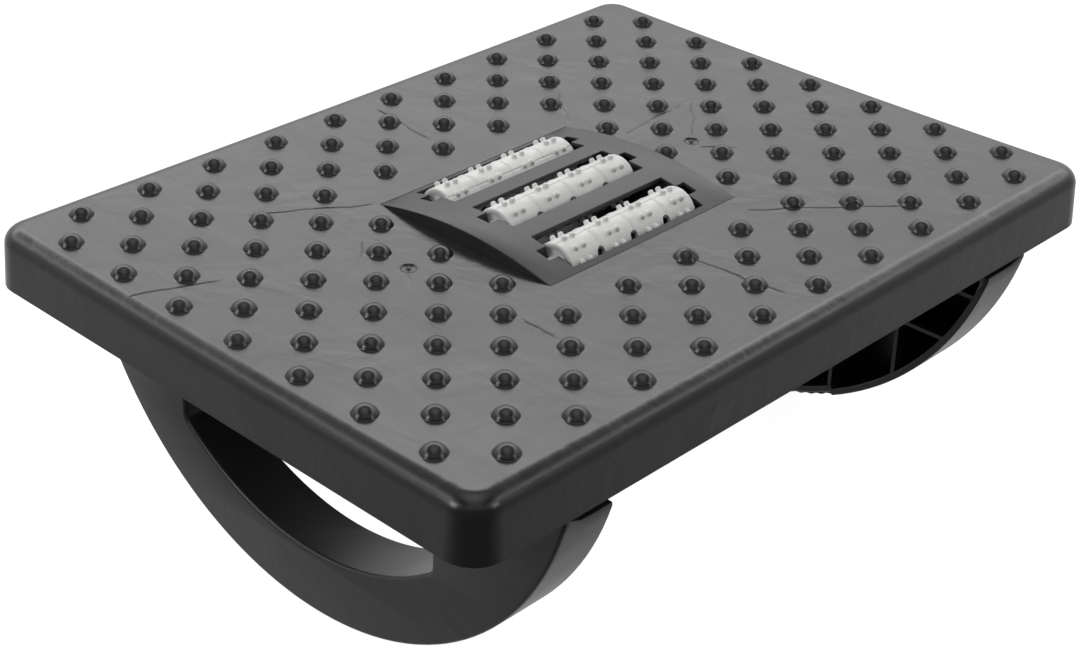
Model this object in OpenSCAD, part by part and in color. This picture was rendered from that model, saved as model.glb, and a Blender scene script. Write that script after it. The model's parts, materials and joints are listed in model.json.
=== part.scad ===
// Rocking foot rest with three massage rollers.
// Origin: on the floor under the middle of the part. +X long side, -Y front, +Z up. Millimetres.

/* [Platform] */
// Length of the platform at the top of its skirt
deck_len = 451; // [440:1:480]
// Width of the platform at the top of its skirt
deck_wid = 331; // [328:1:350]
// Height of the deck's top face above the floor
deck_top = 158.6; // [158:0.1:160]
// Height of the skirt, from the deck's top face to the bottom lip
skirt_h = 27; // [26:0.1:29]
// Outward draft of the skirt at its bottom lip
flare = 1.1; // [0.2:0.1:2]
// Plan radius of the platform's corners
corner_r = 15; // [14:1:26]
// Radius of the rolled top edge
edge_r = 9; // [4:0.1:10]
// Wall thickness of the skirt
skirt_t = 3; // [2.4:0.1:3.4]
// Thickness of the deck
deck_t = 3.2; // [2.6:0.1:3.6]
// Thickness of the stiffening ribs under the deck
rib_t = 2; // [1.5:0.1:3]

/* [Massage bumps] */
// Half the diagonal grid's pitch
pitch = 20.73; // [20:0.01:21]
// Base radius of a bump
bump_r = 6.2; // [5:0.1:8]
// Height of a bump above the deck
bump_h = 4.4; // [2.5:0.1:5]
// Radius of the dimple at each of the two moulding gates
gate_r = 5; // [3:0.5:6]
// Depth of a gate dimple
gate_d = 0.8; // [0.4:0.1:1]

/* [Roller housing] */
// Length of the housing where it meets the deck
house_len = 136; // [134:1:140]
// Width of the housing where it meets the deck
house_wid = 116; // [115:1:118]
// Rise of the arched top above the deck
arch_h = 8.3; // [8:0.1:9]
// Thickness of the arched top and of the walls
house_t = 2.5; // [2:0.1:2.8]
// Length of a roller slot
slot_len = 95; // [94:0.5:97]
// Width of a roller slot
slot_wid = 27.9; // [27.6:0.1:30]
// Width of the notch at each end of a slot
notch_wid = 8.4; // [6:0.1:9]
// Depth of the notch at each end of a slot
notch_dep = 6.5; // [4:0.1:7]
// Wall thickness of the tray that closes the housing below the rollers
tray_t = 2; // [1.6:0.1:2.4]
// Clearance between the nubs of the outer rollers and the floor of the tray
tray_gap = 1; // [0.6:0.1:1.4]

/* [Rollers] */
// Radius of a roller's body
roller_r = 12; // [11:0.1:12.1]
// Length of a roller's body
roller_len = 90.6; // [88:0.1:91]
// Distance between two roller axes, front to back
roller_gap = 40; // [39.8:0.1:40.2]
// Height of the middle roller's axis
mid_z = 157.35; // [157:0.05:157.6]
// How much lower the outer rollers' axes are
roller_drop = 3.65; // [3.5:0.05:3.8]
// Height of a nub
nub_h = 2.1; // [1:0.1:2.1]
// Base radius of a nub
nub_r = 1.8; // [1.4:0.1:2.2]
// Rows of nubs round a roller
nub_rows = 10; // [6:2:12]
// Distance between the two nubs of a pair
pair_gap = 5.5; // [4.6:0.1:7]
// Angle of the seam of the front and middle rollers, from the top towards the front
seam_front = -3; // [-90:1:90]
// Angle of the seam of the rear roller, from the top towards the front
seam_rear = 35; // [-90:1:90]
// Wall thickness of a roller shell
shell_t = 2.2; // [1.8:0.1:2.8]
// Radius of a roller's journals
journal_r = 5.2; // [4.8:0.1:5.4]
// Radial clearance of a journal in its saddle
fit_gap = 0.05; // [0.02:0.01:0.1]
// Radius of the steel rod in a roller
rod_r = 2.5; // [2:0.1:3]

/* [Rockers] */
// Distance from the middle of the part to a rocker's outer face
rocker_x = 172.6; // [165:0.1:180]
// Width of a rocker
rocker_w = 31.4; // [30:0.1:34]
// Radius of the tread pads, which is also the height of the rocking centre
tread_r = 171; // [170:0.5:172]
// How far the tread pads stand out of the moulded tread
pad_out = 0.4; // [0.2:0.1:0.8]
// Thickness of the tread's wall
tread_t = 3.6; // [3:0.1:4]
// Depth of the recess for a tread pad
recess_d = 2.2; // [1.5:0.1:2.6]
// Half length of the recess along the tread, front to back
recess_y = 79; // [60:1:84]
// Radius of the floor of the opening through a rocker
tunnel_r = 138.3; // [136:0.1:140]
// Half length of the opening through a rocker, front to back
tunnel_y = 87.5; // [80:0.5:90]
// Height of the lowest point of the opening through a rocker
tunnel_low = 34.2; // [32:0.1:38]
// Height of the top of the opening through a rocker
tunnel_top = 124; // [118:0.5:124]

/* [Hidden] */
$fn = 96;
eps = 0.01;
skirt_z = deck_top - skirt_h;                 // bottom lip of the skirt
deck_low = deck_top - deck_t;                 // underside of the deck
rib_low = deck_low - 12;                      // lower edges of the ribs under the deck
gate_ball = (gate_r * gate_r + gate_d * gate_d) / (2 * gate_d);
flange_top = 147.4;                           // face where housing and deck bosses meet
flange_t = 2.5;
flange_low = flange_top - flange_t;
arch_r = (pow(house_wid / 2, 2) + arch_h * arch_h) / (2 * arch_h);
arch_cz = deck_top + arch_h - arch_r;         // centre height of the arch
window_gap = 0.2;
flange_x = 80;                                // half length of the housing's flange
flange_y = 70;                                // half width of the housing's flange
flange_r = 4;                                 // plan radius of the tray flange's corners
tray_x = 71.5;                                // half length of the tray's well
tray_y = 61.5;                                // half width of the tray's well
tray_r = 5;                                   // plan radius of the well's corners
tray_floor = mid_z - roller_drop - roller_r - nub_h - tray_gap;
house_screws = [for (x = [-75.5, 75.5]) for (y = [-65.5, 0, 65.5]) [x, y]];
rail_x0 = 46.3;                               // inner face of a bearing rail
rail_t = 3.4;
rail_foot_z = 144.4;                          // underside of a rail's foot
rail_foot_t = 2.6;
rail_screw_x = 60.5;
rail_screw_y = [-40, 0, 40];
small_r = 1.45;                               // radius of the small screws
big_r = 1.95;                                 // radius of the rocker screws
hole_gap = 0.05;
mouth_a = 50;                                 // where a saddle's mouth starts, from horizontal
journal_end = 52;
seg_x = [-24, 0, 24];                         // edges between a roller's four segments
seg_mid = [-36, -12, 12, 36];
shell_slot_r = 2.5;                           // half width of the long holes in a front half shell
shell_slot_y = 4.7;                           // half length of such a hole's straight part
rocker_top = 140.5;                           // top of a rocker's mounting plate
shoulder_z = 127.5;                           // top of a rocker's ends, under the skirt
neck_y = 158;                                 // half length of a rocker inside the skirt
plate_t = 3;
side_t = 2.8;
rocker_cx = rocker_x - rocker_w / 2;
rocker_screw_y = [-130, -60, 60, 130];
pocket_w = 24;                                // width of the tread recess from the inner edge
pad_end = rocker_x - rocker_w + pocket_w;     // outer side of a tread pad
pad_w = 20;
pad_y = recess_y - 2;
rocker_rib_t = 2.2;

// ---- positions of the rollers: 1 rear, 0 middle, -1 front ----
function roller_y(i) = i * roller_gap;
function roller_z(i) = mid_z - abs(i) * roller_drop;

// ---- platform ----

// Half section of the platform's outside at a corner, measured from the corner's centre.
module edge_section(r, top, low, round_r, out) {
    polygon([[0, low], [r + out, low], [r, top - round_r], [r - round_r, top - round_r],
        [r - round_r, top], [0, top]]);
    translate([r - round_r, top - round_r]) circle(r = round_r);
}

// A rounded block with a rolled top edge and drafted sides, built from corners and straight runs.
module rolled_block(len, wid, r, top, low, round_r, out) {
    cx = len / 2 - r;
    cy = wid / 2 - r;
    translate([-cx, -cy, low]) cube([2 * cx, 2 * cy, top - low]);
    for (sx = [-1, 1]) for (sy = [-1, 1])
        translate([sx * cx, sy * cy, 0]) rotate_extrude()
            intersection() {
                edge_section(r, top, low, round_r, out);
                translate([0, low]) square([r + out + 1, top - low]);
            }
    for (s = [0, 1]) {
        run = s == 0 ? cx : cy;
        off = s == 0 ? cy : cx;
        for (m = [0, 180])
            rotate([0, 0, m + 90 * s]) translate([run, -off, 0]) rotate([90, 0, -90])
                linear_extrude(2 * run) edge_section(r, top, low, round_r, out);
    }
}

// A rib under the deck, from one corner to the other in plan.
module deck_rib(x0, y0, x1, y1) translate([x0, y0, rib_low])
    cube([x1 - x0, y1 - y0, deck_low - rib_low + eps]);

// The grid of ribs under the deck. It runs a little into the skirt and stops short of the housing.
module grid_ribs() {
    far_x = deck_len / 2 - skirt_t + 0.4;
    far_y = deck_wid / 2 - skirt_t + 0.4;
    near_x = flange_x + 3;
    near_y = flange_y + 3;
    half = rib_t / 2;
    for (i = [-9, -7, -5, 5, 7, 9]) deck_rib(i * pitch - half, -far_y, i * pitch + half, far_y);
    for (i = [-3, 3]) {
        deck_rib(i * pitch - half, near_y, i * pitch + half, far_y);
        deck_rib(i * pitch - half, -far_y, i * pitch + half, -near_y);
    }
    for (j = [-6, -4, 4, 6]) deck_rib(-far_x, j * pitch - half, far_x, j * pitch + half);
    for (j = [-2, 0, 2]) {
        deck_rib(near_x, j * pitch - half, far_x, j * pitch + half);
        deck_rib(-far_x, j * pitch - half, -near_x, j * pitch + half);
    }
}

// The domes, left out round the housing. Their grid is diagonal.
module bumps() {
    ball = (bump_r * bump_r + bump_h * bump_h) / (2 * bump_h);
    intersection() {
        for (i = [-10:10]) for (j = [-7:7])
            if ((i + j + 40) % 2 == 0 && (abs(i) > 3 || abs(j) > 3))
                translate([i * pitch, j * pitch, deck_top + bump_h - ball]) sphere(r = ball);
        translate([-deck_len / 2, -deck_wid / 2, deck_top - 0.5]) cube([deck_len, deck_wid, 10]);
    }
}

// Copies a shape to each screw of the housing, of the bearing rails or of the rockers, at height z.
module at_house_screws(z) for (p = house_screws) translate([p[0], p[1], z]) children();
module at_rail_screws(z) for (s = [-1, 1]) for (y = rail_screw_y)
    translate([s * rail_screw_x, y, z]) children();
module at_rocker_screws(z) for (s = [-1, 1]) for (y = rocker_screw_y)
    translate([s * rocker_cx, y, z]) children();

module platform() color([0.1, 0.1, 0.1]) difference() {
    union() {
        difference() {
            rolled_block(deck_len, deck_wid, corner_r, deck_top, skirt_z, edge_r, flare);
            rolled_block(deck_len - 2 * skirt_t, deck_wid - 2 * skirt_t, corner_r - skirt_t, deck_low,
                skirt_z - 1, edge_r - skirt_t, flare);
        }
        bumps();
        grid_ribs();
        // collar round the housing's window
        translate([-house_len / 2 - 2.2, -house_wid / 2 - 2.2, flange_top])
            cube([house_len + 4.4, house_wid + 4.4, deck_low - flange_top + eps]);
        at_house_screws(flange_top) cylinder(r = 4, h = deck_low - flange_top + eps);
        at_rocker_screws(rocker_top) cylinder(r = 4.5, h = deck_low - rocker_top + eps);
    }
    // window for the housing
    translate([-house_len / 2 - window_gap, -house_wid / 2 - window_gap, flange_top - 1])
        cube([house_len + 2 * window_gap, house_wid + 2 * window_gap, 20]);
    at_house_screws(flange_top - 1) cylinder(r = small_r + hole_gap, h = 8);
    at_rocker_screws(rocker_top - 1) cylinder(r = big_r + hole_gap, h = 13);
    for (s = [-1, 1]) translate([s * 5 * pitch, 0, deck_top - gate_d + gate_ball]) sphere(r = gate_ball);
}

// ---- roller housing ----

module arch_block(r) translate([0, 0, arch_cz]) rotate([0, 90, 0])
    cylinder(r = r, h = house_len + 20, center = true, $fn = 200);

module slot_cut(i) {
    translate([-slot_len / 2, roller_y(i) - slot_wid / 2, flange_top]) cube([slot_len, slot_wid, 40]);
    translate([-slot_len / 2 - notch_dep, roller_y(i) - notch_wid / 2, flange_top])
        cube([slot_len + 2 * notch_dep, notch_wid, 40]);
}

module roller_housing() color([0.13, 0.13, 0.13]) difference() {
    union() {
        difference() {
            intersection() {
                translate([-house_len / 2, -house_wid / 2, flange_low]) cube([house_len, house_wid, 40]);
                arch_block(arch_r);
            }
            intersection() {
                translate([-house_len / 2 + house_t, -house_wid / 2 + house_t, flange_low - 1])
                    cube([house_len - 2 * house_t, house_wid - 2 * house_t, 40]);
                arch_block(arch_r - house_t);
            }
        }
        difference() {
            translate([-flange_x, -flange_y, flange_low]) cube([2 * flange_x, 2 * flange_y, flange_t]);
            translate([-house_len / 2 + house_t, -house_wid / 2 + house_t, flange_low - 1])
                cube([house_len - 2 * house_t, house_wid - 2 * house_t, flange_t + 2]);
        }
        // bosses for the bearing rails
        for (s = [-1, 1]) for (y = rail_screw_y) intersection() {
            union() {
                translate([s * rail_screw_x, y, rail_foot_z + rail_foot_t]) cylinder(r = 3.4, h = 30);
                translate([s > 0 ? rail_screw_x : -house_len / 2 + 1, y - 1, rail_foot_z + rail_foot_t + 1])
                    cube([house_len / 2 - 1 - rail_screw_x, 2, 30]);
            }
            arch_block(arch_r - house_t / 2);
        }
    }
    for (i = [-1:1]) slot_cut(i);
    at_house_screws(flange_low - 1) cylinder(r = small_r + 0.2, h = flange_t + 2);
    at_rail_screws(rail_foot_z) cylinder(r = small_r + hole_gap, h = 10.5);
}

// ---- tray: closes the housing from below, held by the housing's screws ----

// A block with rounded upright corners, from z = 0 to h.
module round_block(half_x, half_y, r, h) {
    translate([-half_x + r, -half_y, 0]) cube([2 * (half_x - r), 2 * half_y, h]);
    translate([-half_x, -half_y + r, 0]) cube([2 * half_x, 2 * (half_y - r), h]);
    for (sx = [-1, 1]) for (sy = [-1, 1])
        translate([sx * (half_x - r), sy * (half_y - r), 0]) cylinder(r = r, h = h);
}

module roller_tray() color([0.13, 0.13, 0.13]) difference() {
    union() {
        translate([0, 0, tray_floor - tray_t])
            round_block(tray_x, tray_y, tray_r, flange_low - tray_floor + tray_t);
        translate([0, 0, flange_low - tray_t]) round_block(flange_x, flange_y, flange_r, tray_t);
    }
    translate([0, 0, tray_floor]) round_block(tray_x - tray_t, tray_y - tray_t, tray_r - tray_t, 20);
    at_house_screws(flange_low - tray_t - 1) cylinder(r = small_r + 0.2, h = tray_t + 2);
}

// ---- bearing rails: each carries one end of all three rollers ----

module saddle_cut(i) translate([rail_x0 - 1, roller_y(i), roller_z(i)]) rotate([90, 0, 90])
    linear_extrude(rail_t + 2) {
        r = journal_r + fit_gap;
        circle(r = r);
        polygon([[-r * cos(mouth_a), 0], [r * cos(mouth_a), 0], [r * cos(mouth_a), r * sin(mouth_a)],
            [6.8, 9.3], [6.8, 20], [-6.8, 20], [-6.8, 9.3], [-r * cos(mouth_a), r * sin(mouth_a)]]);
    }

module bearing_rail() {
    half_y = house_wid / 2 - house_t - 0.6;
    foot_end = house_len / 2 - house_t - 0.6;
    foot_top = rail_foot_z + rail_foot_t;
    difference() {
        union() {
            intersection() {
                translate([rail_x0, -half_y, rail_foot_z]) cube([rail_t, 2 * half_y, 40]);
                arch_block(arch_r - house_t - 0.4);
            }
            translate([rail_x0, -half_y, rail_foot_z]) cube([foot_end - rail_x0, 2 * half_y, rail_foot_t]);
            // gussets
            for (y = [-20, 20]) translate([rail_x0 + rail_t - eps, y + 1.2, foot_top - eps])
                rotate([90, 0, 0]) linear_extrude(2.4) polygon([[0, 0], [9, 0], [0, 9]]);
        }
        for (i = [-1:1]) saddle_cut(i);
        for (y = rail_screw_y) translate([rail_screw_x, y, rail_foot_z - 1])
            cylinder(r = small_r + 0.2, h = rail_foot_t + 2);
    }
}

module left_bearing_rail() color([0.07, 0.07, 0.07]) mirror([1, 0, 0]) bearing_rail();
module right_bearing_rail() color([0.07, 0.07, 0.07]) bearing_rail();

// ---- screws, driven from below ----

// A pan-head screw with its shank upwards and a cross recess below; z = 0 under the head.
module screw(r, head_r, head_h, len) difference() {
    union() {
        cylinder(r = r, h = len);
        translate([0, 0, -head_h]) cylinder(r1 = head_r * 0.8, r2 = head_r, h = head_h);
    }
    for (a = [0, 90]) rotate([0, 0, a]) translate([-head_r * 0.5, -0.4, -head_h - 1])
        cube([head_r, 0.8, 1 + head_h * 0.6]);
}

module housing_screws() color([0.6, 0.6, 0.62])
    at_house_screws(flange_low - tray_t) screw(small_r, 2.9, 1.8, 9 + tray_t);
module rail_screws() color([0.6, 0.6, 0.62]) at_rail_screws(rail_foot_z) screw(small_r, 2.9, 1.8, 10);
module rocker_screws() color([0.6, 0.6, 0.62])
    at_rocker_screws(rocker_top - plate_t) screw(big_r, 3.6, 2.2, 14);

// ---- rollers ----

module x_tube(r, len) rotate([0, 90, 0]) cylinder(r = r, h = len, center = true);

// Nubs of one half, from the seam row round to the opposite seam row.
module half_nubs(side) for (k = [0:nub_rows / 2]) for (m = seg_mid) for (p = [-0.5, 0.5])
    rotate([side * k * 360 / nub_rows, 0, 0]) translate([m + p * pair_gap, 0, roller_r - 0.4])
        cylinder(r1 = nub_r, r2 = nub_r * 0.65, h = nub_h + 0.4, $fn = 24);

// One half shell, its seam plane upright; side 1 is the slotted front half, -1 the plain one.
module half_shell(side) difference() {
    union() {
        difference() {
            union() {
                x_tube(roller_r, roller_len);
                half_nubs(side);
            }
            x_tube(roller_r - shell_t, roller_len - 2 * shell_t);
            for (x = seg_x) translate([x, 0, 0]) difference() {
                x_tube(roller_r + nub_h, 2.6);
                x_tube(roller_r - 0.5, 3);
            }
        }
        x_tube(journal_r, 2 * journal_end);
        for (x = seg_mid) translate([x, 0, 0]) x_tube(roller_r - 1, 1.8);
    }
    x_tube(rod_r, 2 * journal_end - 4);
    // hollow between the webs and the rod, inside the shell
    for (x = seg_x) translate([x, 0, 0]) difference() {
        x_tube(roller_r - shell_t, 22.2);
        x_tube(rod_r, 40);
    }
    // keep only this half, with a fine groove along the seam
    translate([-60, side > 0 ? 0 : -30, -20]) cube([120, 30, 40]);
    for (z = [-1, 1]) translate([-60, -0.2, z > 0 ? roller_r - 0.5 : -roller_r - 3.5]) cube([120, 0.4, 4]);
    if (side > 0) for (x = seg_x) translate([x - 0.5, 0, 0]) rotate([90, 0, 0]) {
        translate([0, 0, roller_r - shell_t - 2]) {
            for (z = [-1, 1]) translate([0, z * shell_slot_y, 0]) cylinder(r = shell_slot_r, h = 10);
            translate([-shell_slot_r, -shell_slot_y, 0]) cube([2 * shell_slot_r, 2 * shell_slot_y, 10]);
        }
    }
}

module roller_half(i, seam, side) color([0.9, 0.9, 0.87])
    translate([0, roller_y(i), roller_z(i)]) rotate([seam, 0, 0]) half_shell(side);
module roller_rod(i) color([0.7, 0.7, 0.72])
    translate([0, roller_y(i), roller_z(i)]) x_tube(rod_r, 2 * journal_end - 4);

module rear_shell_plain() roller_half(1, seam_rear, -1);
module rear_shell_slotted() roller_half(1, seam_rear, 1);
module rear_rod() roller_rod(1);
module middle_shell_plain() roller_half(0, seam_front, -1);
module middle_shell_slotted() roller_half(0, seam_front, 1);
module middle_rod() roller_rod(0);
module front_shell_plain() roller_half(-1, seam_front, -1);
module front_shell_slotted() roller_half(-1, seam_front, 1);
module front_rod() roller_rod(-1);

// ---- rockers ----

// Side shapes are drawn with y to the right and z up.
module disc(r, z) translate([0, z]) circle(r = r, $fn = 200);
module box2(y, low, top) translate([-y, low]) square([2 * y, top - low]);

module rocker_shape(inset) {
    intersection() {
        disc(tread_r - pad_out - inset * tread_t, tread_r);
        box2(tread_r, 0, shoulder_z - inset * plate_t);
    }
    box2(neck_y - inset * plate_t, 112, rocker_top - inset * plate_t);
}

// The opening, with a curved floor and upright ends.
module tunnel_shape(grow) intersection() {
    disc(tunnel_r + grow, tunnel_r + tunnel_low);
    box2(tunnel_y + grow, 0, tunnel_top + grow);
}

module rocker_ribs() intersection() {
    union() {
        for (s = [-1, 1]) {
            translate([s * 114.5 - rocker_rib_t / 2, 20]) square([rocker_rib_t, rocker_top - 21]);
            for (y = [38, 76]) translate([s * y - rocker_rib_t / 2, 1]) square([rocker_rib_t, 70]);
        }
        translate([-rocker_rib_t / 2, 1]) square([rocker_rib_t, 40]);
        for (z = [82, 112]) translate([-tread_r, z - rocker_rib_t / 2]) square([2 * tread_r, rocker_rib_t]);
    }
    rocker_shape(0.5);
}

// Extrudes a side shape along x from a to b.
module along_x(a, b) translate([a, 0, 0]) rotate([90, 0, 90]) linear_extrude(b - a) children();

module rocker() {
    in_x = rocker_x - rocker_w;
    difference() {
        union() {
            along_x(rocker_x - side_t, rocker_x) rocker_shape(0);
            along_x(in_x, rocker_x) difference() {
                rocker_shape(0);
                rocker_shape(1);
            }
            along_x(in_x, rocker_x) tunnel_shape(3);
            along_x(in_x + 1.2, rocker_x) rocker_ribs();
            // the tread steps inwards behind the pad recess
            along_x(in_x, in_x + pocket_w + 2.6) intersection() {
                difference() {
                    disc(tread_r - pad_out - 1, tread_r);
                    disc(tread_r - pad_out - recess_d - tread_t, tread_r);
                }
                box2(recess_y + 3, 0, 60);
            }
        }
        along_x(in_x - 1, rocker_x + 1) tunnel_shape(0);
        along_x(in_x - 1, in_x + pocket_w) intersection() {
            difference() {
                disc(tread_r + 5, tread_r);
                disc(tread_r - pad_out - recess_d, tread_r);
            }
            box2(recess_y, -10, 60);
        }
        for (y = rocker_screw_y) translate([rocker_cx, y, rocker_top - plate_t - 1])
            cylinder(r = big_r + 0.25, h = plate_t + 2);
    }
}

module tread_pad() along_x(pad_end - pad_w, pad_end) intersection() {
    difference() {
        disc(tread_r, tread_r);
        disc(tread_r - pad_out - recess_d, tread_r);
    }
    box2(pad_y, -10, 60);
}

module left_rocker() color([0.1, 0.1, 0.1]) mirror([1, 0, 0]) rocker();
module right_rocker() color([0.1, 0.1, 0.1]) rocker();
module left_tread_pad() color([0.05, 0.05, 0.05]) mirror([1, 0, 0]) tread_pad();
module right_tread_pad() color([0.05, 0.05, 0.05]) tread_pad();

platform();
roller_housing();
roller_tray();
left_bearing_rail();
right_bearing_rail();
housing_screws();
rail_screws();
rear_shell_plain();
rear_shell_slotted();
rear_rod();
middle_shell_plain();
middle_shell_slotted();
middle_rod();
front_shell_plain();
front_shell_slotted();
front_rod();
left_rocker();
right_rocker();
left_tread_pad();
right_tread_pad();
rocker_screws();
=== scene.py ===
"""Looks of a rocking foot rest: a domed platform on two curved rockers, with three nubbed rollers in an
arched housing. Shapes are worked out in millimetres and made into meshes in metres."""

import json
import math

import bmesh
import bpy
from mathutils import Matrix, Vector
from mathutils.geometry import tessellate_polygon

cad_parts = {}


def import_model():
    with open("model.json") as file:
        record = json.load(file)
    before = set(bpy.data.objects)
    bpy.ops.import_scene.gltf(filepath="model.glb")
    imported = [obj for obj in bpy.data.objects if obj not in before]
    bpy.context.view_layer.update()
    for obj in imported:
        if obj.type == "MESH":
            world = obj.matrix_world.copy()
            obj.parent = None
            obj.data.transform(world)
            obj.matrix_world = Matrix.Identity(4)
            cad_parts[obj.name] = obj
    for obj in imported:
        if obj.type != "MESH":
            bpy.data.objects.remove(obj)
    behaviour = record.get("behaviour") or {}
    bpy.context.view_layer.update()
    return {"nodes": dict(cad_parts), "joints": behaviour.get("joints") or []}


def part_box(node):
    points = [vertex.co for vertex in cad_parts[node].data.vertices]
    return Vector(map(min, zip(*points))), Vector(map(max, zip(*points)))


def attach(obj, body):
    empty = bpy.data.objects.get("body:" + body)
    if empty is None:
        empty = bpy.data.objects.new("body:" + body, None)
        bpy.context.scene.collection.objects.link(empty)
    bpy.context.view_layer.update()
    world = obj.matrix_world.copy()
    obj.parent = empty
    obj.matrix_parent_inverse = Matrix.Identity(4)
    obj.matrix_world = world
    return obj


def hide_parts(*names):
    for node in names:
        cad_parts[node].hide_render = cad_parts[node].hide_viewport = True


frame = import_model()

MM = 0.001


# ---------------------------------------------------------------- sizes, in millimetres

def box_mm(node):
    """Lowest and highest corner of a CAD node, in millimetres."""
    low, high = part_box(node)
    return low / MM, high / MM


PLATFORM_LOW, PLATFORM_HIGH = box_mm("platform")
HOUSING_LOW, HOUSING_HIGH = box_mm("roller_housing")
ROCKER_LOW, ROCKER_HIGH = box_mm("right_rocker")
PAD_LOW, PAD_HIGH = box_mm("right_tread_pad")
AXES = {j["child"]: Vector(j["pos_m"]) / MM for j in frame["joints"]}

# platform
FLARE = 1.1
HALF_LEN = PLATFORM_HIGH.x - FLARE
HALF_WID = PLATFORM_HIGH.y - FLARE
LIP_Z = PLATFORM_LOW.z
CORNER_R = 15.0
ROLL_R = 9.0
SKIRT_T = 3.0
DECK_T = 3.2
PITCH = 20.73
GRID_COLS = 10
GRID_ROWS = 7
WINDOW_CELLS = 3
CELL_STEPS = 12
DOME_R = 6.2
DOME_H = 4.4
# distance out from a dome's side and height above the deck
DOME_FILLET = ((0.12, 0.10), (0.25, 0.02), (0.5, 0.0))
CENTRE_Z = 158.1
DISH_X = 2.57
DISH_Y = 2.86
DISH_XY = -1.5
WINDOW_X = 68.2
WINDOW_Y = 58.2
WINDOW_LIP = 0.4
COLLAR_T = 2.2
COLLAR_DROP = 7.0
UNDERSIDE_RINGS = (0.985, 0.8, 0.6)
GATE_CELL = (5, 0)
GATE_X = GATE_CELL[0] * PITCH
GATE_R = 4.1
GATE_DEPTH = 0.7
RIB_T = 2.0
RIB_DEPTH = 12.0
RIB_SINK = 0.4
HOUSING_SCREW_X = 75.5
HOUSING_SCREW_Y = 65.5
ROCKER_SCREWS_Y = (-130, -60, 60, 130)

# housing
HOUSE_X = 68.0
HOUSE_Y = 58.0
HOUSE_T = 2.5
FLANGE_T = 2.5
ARCH_RISE = 8.3
ARCH_TOP = HOUSING_HIGH.z
ARCH_R = (HOUSE_Y ** 2 + ARCH_RISE ** 2) / (2 * ARCH_RISE)
SLOT_X = 47.5
SLOT_W = 27.9
NOTCH_X = 54.0
NOTCH_W = 8.4
END_SLOPE_X = 12.0
END_DROP = 0.9

# rollers
ROLLER_R = 12.0
ROLLER_X = 45.3
JOURNAL_R = 5.2
JOURNAL_X = 52.0
BORE_R = 2.5
SHELL_T = 2.2
ROLLER_STEPS = 76
# distance along the axis and radius, from the end of the round body to the bore of the journal
ROLLER_END = [
    (44.9, ROLLER_R - 0.06), (45.15, ROLLER_R - 0.3), (ROLLER_X, ROLLER_R - 0.7), (ROLLER_X, 9.6),
    (ROLLER_X - 0.5, 9.1), (ROLLER_X - 0.5, 6.4), (ROLLER_X - 0.2, 5.6), (ROLLER_X + 0.4, JOURNAL_R),
    (JOURNAL_X - 0.5, JOURNAL_R), (JOURNAL_X, JOURNAL_R - 0.5), (JOURNAL_X, BORE_R),
]
SEAM_DIP = 0.55
NUB_H = 2.1
# radius and height above the roller, from a nub's foot to its rounded head
NUB_PROFILE = [
    (2.1, -0.5), (1.85, -0.05), (1.6, 0.12), (1.48, 0.42), (1.42, 1.2), (1.34, 1.6), (1.12, 1.88),
    (0.75, 2.04), (0.35, NUB_H),
]
NUB_SIDES = 14
NUB_ROWS = 10
SEGMENT_EDGES = (-24.0, 0.0, 24.0)
HOLE_R = 2.5
HOLE_Y = 4.7
HOLE_SHIFT = 0.5
RIM_REACH = 0.27
NUB_X = [m + s * 2.75 for m in (-36, -12, 12, 36) for s in (-1, 1)]
SEAM_ANGLE = {"rear": 35.0, "middle": -3.0, "front": -3.0}

# rockers
ROCKER_OUT = ROCKER_HIGH.x
ROCKER_IN = ROCKER_LOW.x
TREAD_R = 170.6
ROCK_Z = 171.0
TREAD_T = 3.6
SHOULDER_Z = 126.7
NECK_Y = 158.0
ROCKER_TOP = ROCKER_HIGH.z
PLATE_T = 3.0
SIDE_T = 2.8
TUNNEL_R = 138.3
TUNNEL_CZ = 172.5
TUNNEL_Y = 87.5
TUNNEL_TOP = 124.0
RECESS_Y = 79.0
RECESS_D = 2.2
RECESS_W = 24.0
TREAD_EDGE = 1.6
RIM_EDGE = 0.5
TUNNEL_EDGE = 2.2
TUNNEL_T = 3.0
TUNNEL_FILLET = 6.0
RIB_HALF = 1.1


# ---------------------------------------------------------------- mesh helpers

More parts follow.
